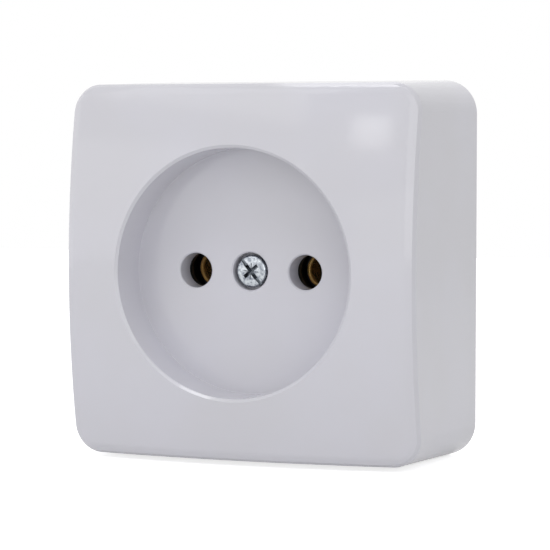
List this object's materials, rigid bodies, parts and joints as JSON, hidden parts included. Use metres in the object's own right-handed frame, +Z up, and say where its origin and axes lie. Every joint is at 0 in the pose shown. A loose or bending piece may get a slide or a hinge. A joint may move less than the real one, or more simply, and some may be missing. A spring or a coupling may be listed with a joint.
{
  "type": "surface-mounted wall socket",
  "caption": "Surface-mounted wall socket with a crowned square cover, a round plug well, pin holes without earth and a central cover screw.",
  "frame": {"origin": "centre of the base's back face, which lies on the wall", "axes": "+X right and +Z up seen from the front, +Y into the wall"},
  "size_m": [0.0616, 0.0304, 0.0616],
  "materials": {
    "cover_plastic": "semi-gloss moulded",
    "base_plastic": "satin moulded",
    "carrier_plastic": "matte moulded",
    "contact_brass": "stamped",
    "spring_steel": "blued",
    "plated_steel": "zinc plated",
    "nylon": "natural"
  },
  "bodies": {
    "root": {"base": "base_plastic", "contact_carrier": "carrier_plastic", "contact_cap": "carrier_plastic", "cover_nut": "plated_steel", "carrier_screw_upper": "plated_steel", "carrier_screw_lower": "plated_steel", "contact_left": "contact_brass", "spring_clip_left": "spring_steel", "terminal_nut_left": "plated_steel", "contact_right": "contact_brass", "spring_clip_right": "spring_steel", "terminal_nut_right": "plated_steel"},
    "cover": {"cover": "cover_plastic"},
    "cover_screw": {"cover_screw": "plated_steel", "screw_retainer": "nylon"},
    "clamp_left": {"clamp_plate_left": "plated_steel", "lock_washer_left": "plated_steel"},
    "terminal_screw_left": {"terminal_screw_left": "plated_steel"},
    "clamp_right": {"clamp_plate_right": "plated_steel", "lock_washer_right": "plated_steel"},
    "terminal_screw_right": {"terminal_screw_right": "plated_steel"}
  },
  "joints": [
    {"name": "cover_slide", "type": "slide", "parent": "root", "child": "cover", "axis": [0, -1, 0], "range_m": [0, 0.035]},
    {"name": "cover_screw_turn", "type": "hinge", "parent": "cover", "child": "cover_screw", "pos_m": [0, -0.021, 0], "axis": [0, -1, 0], "continuous": true},
    {"name": "clamp_left_slide", "type": "slide", "parent": "root", "child": "clamp_left", "axis": [0, -1, 0], "range_m": [0, 0.0024]},
    {"name": "terminal_screw_left_turn", "type": "hinge", "parent": "clamp_left", "child": "terminal_screw_left", "pos_m": [-0.0095, -0.01, 0.0125], "axis": [0, -1, 0], "range_deg": [0, 1441]},
    {"name": "clamp_right_slide", "type": "slide", "parent": "root", "child": "clamp_right", "axis": [0, -1, 0], "range_m": [0, 0.0024]},
    {"name": "terminal_screw_right_turn", "type": "hinge", "parent": "clamp_right", "child": "terminal_screw_right", "pos_m": [0.0095, -0.01, 0.0125], "axis": [0, -1, 0], "range_deg": [0, 1441]}
  ],
  "couplings": [
    {"joint": "terminal_screw_left_turn", "follows": "clamp_left_slide", "rad_per_m": 10472},
    {"joint": "terminal_screw_right_turn", "follows": "clamp_right_slide", "rad_per_m": 10472}
  ]
}
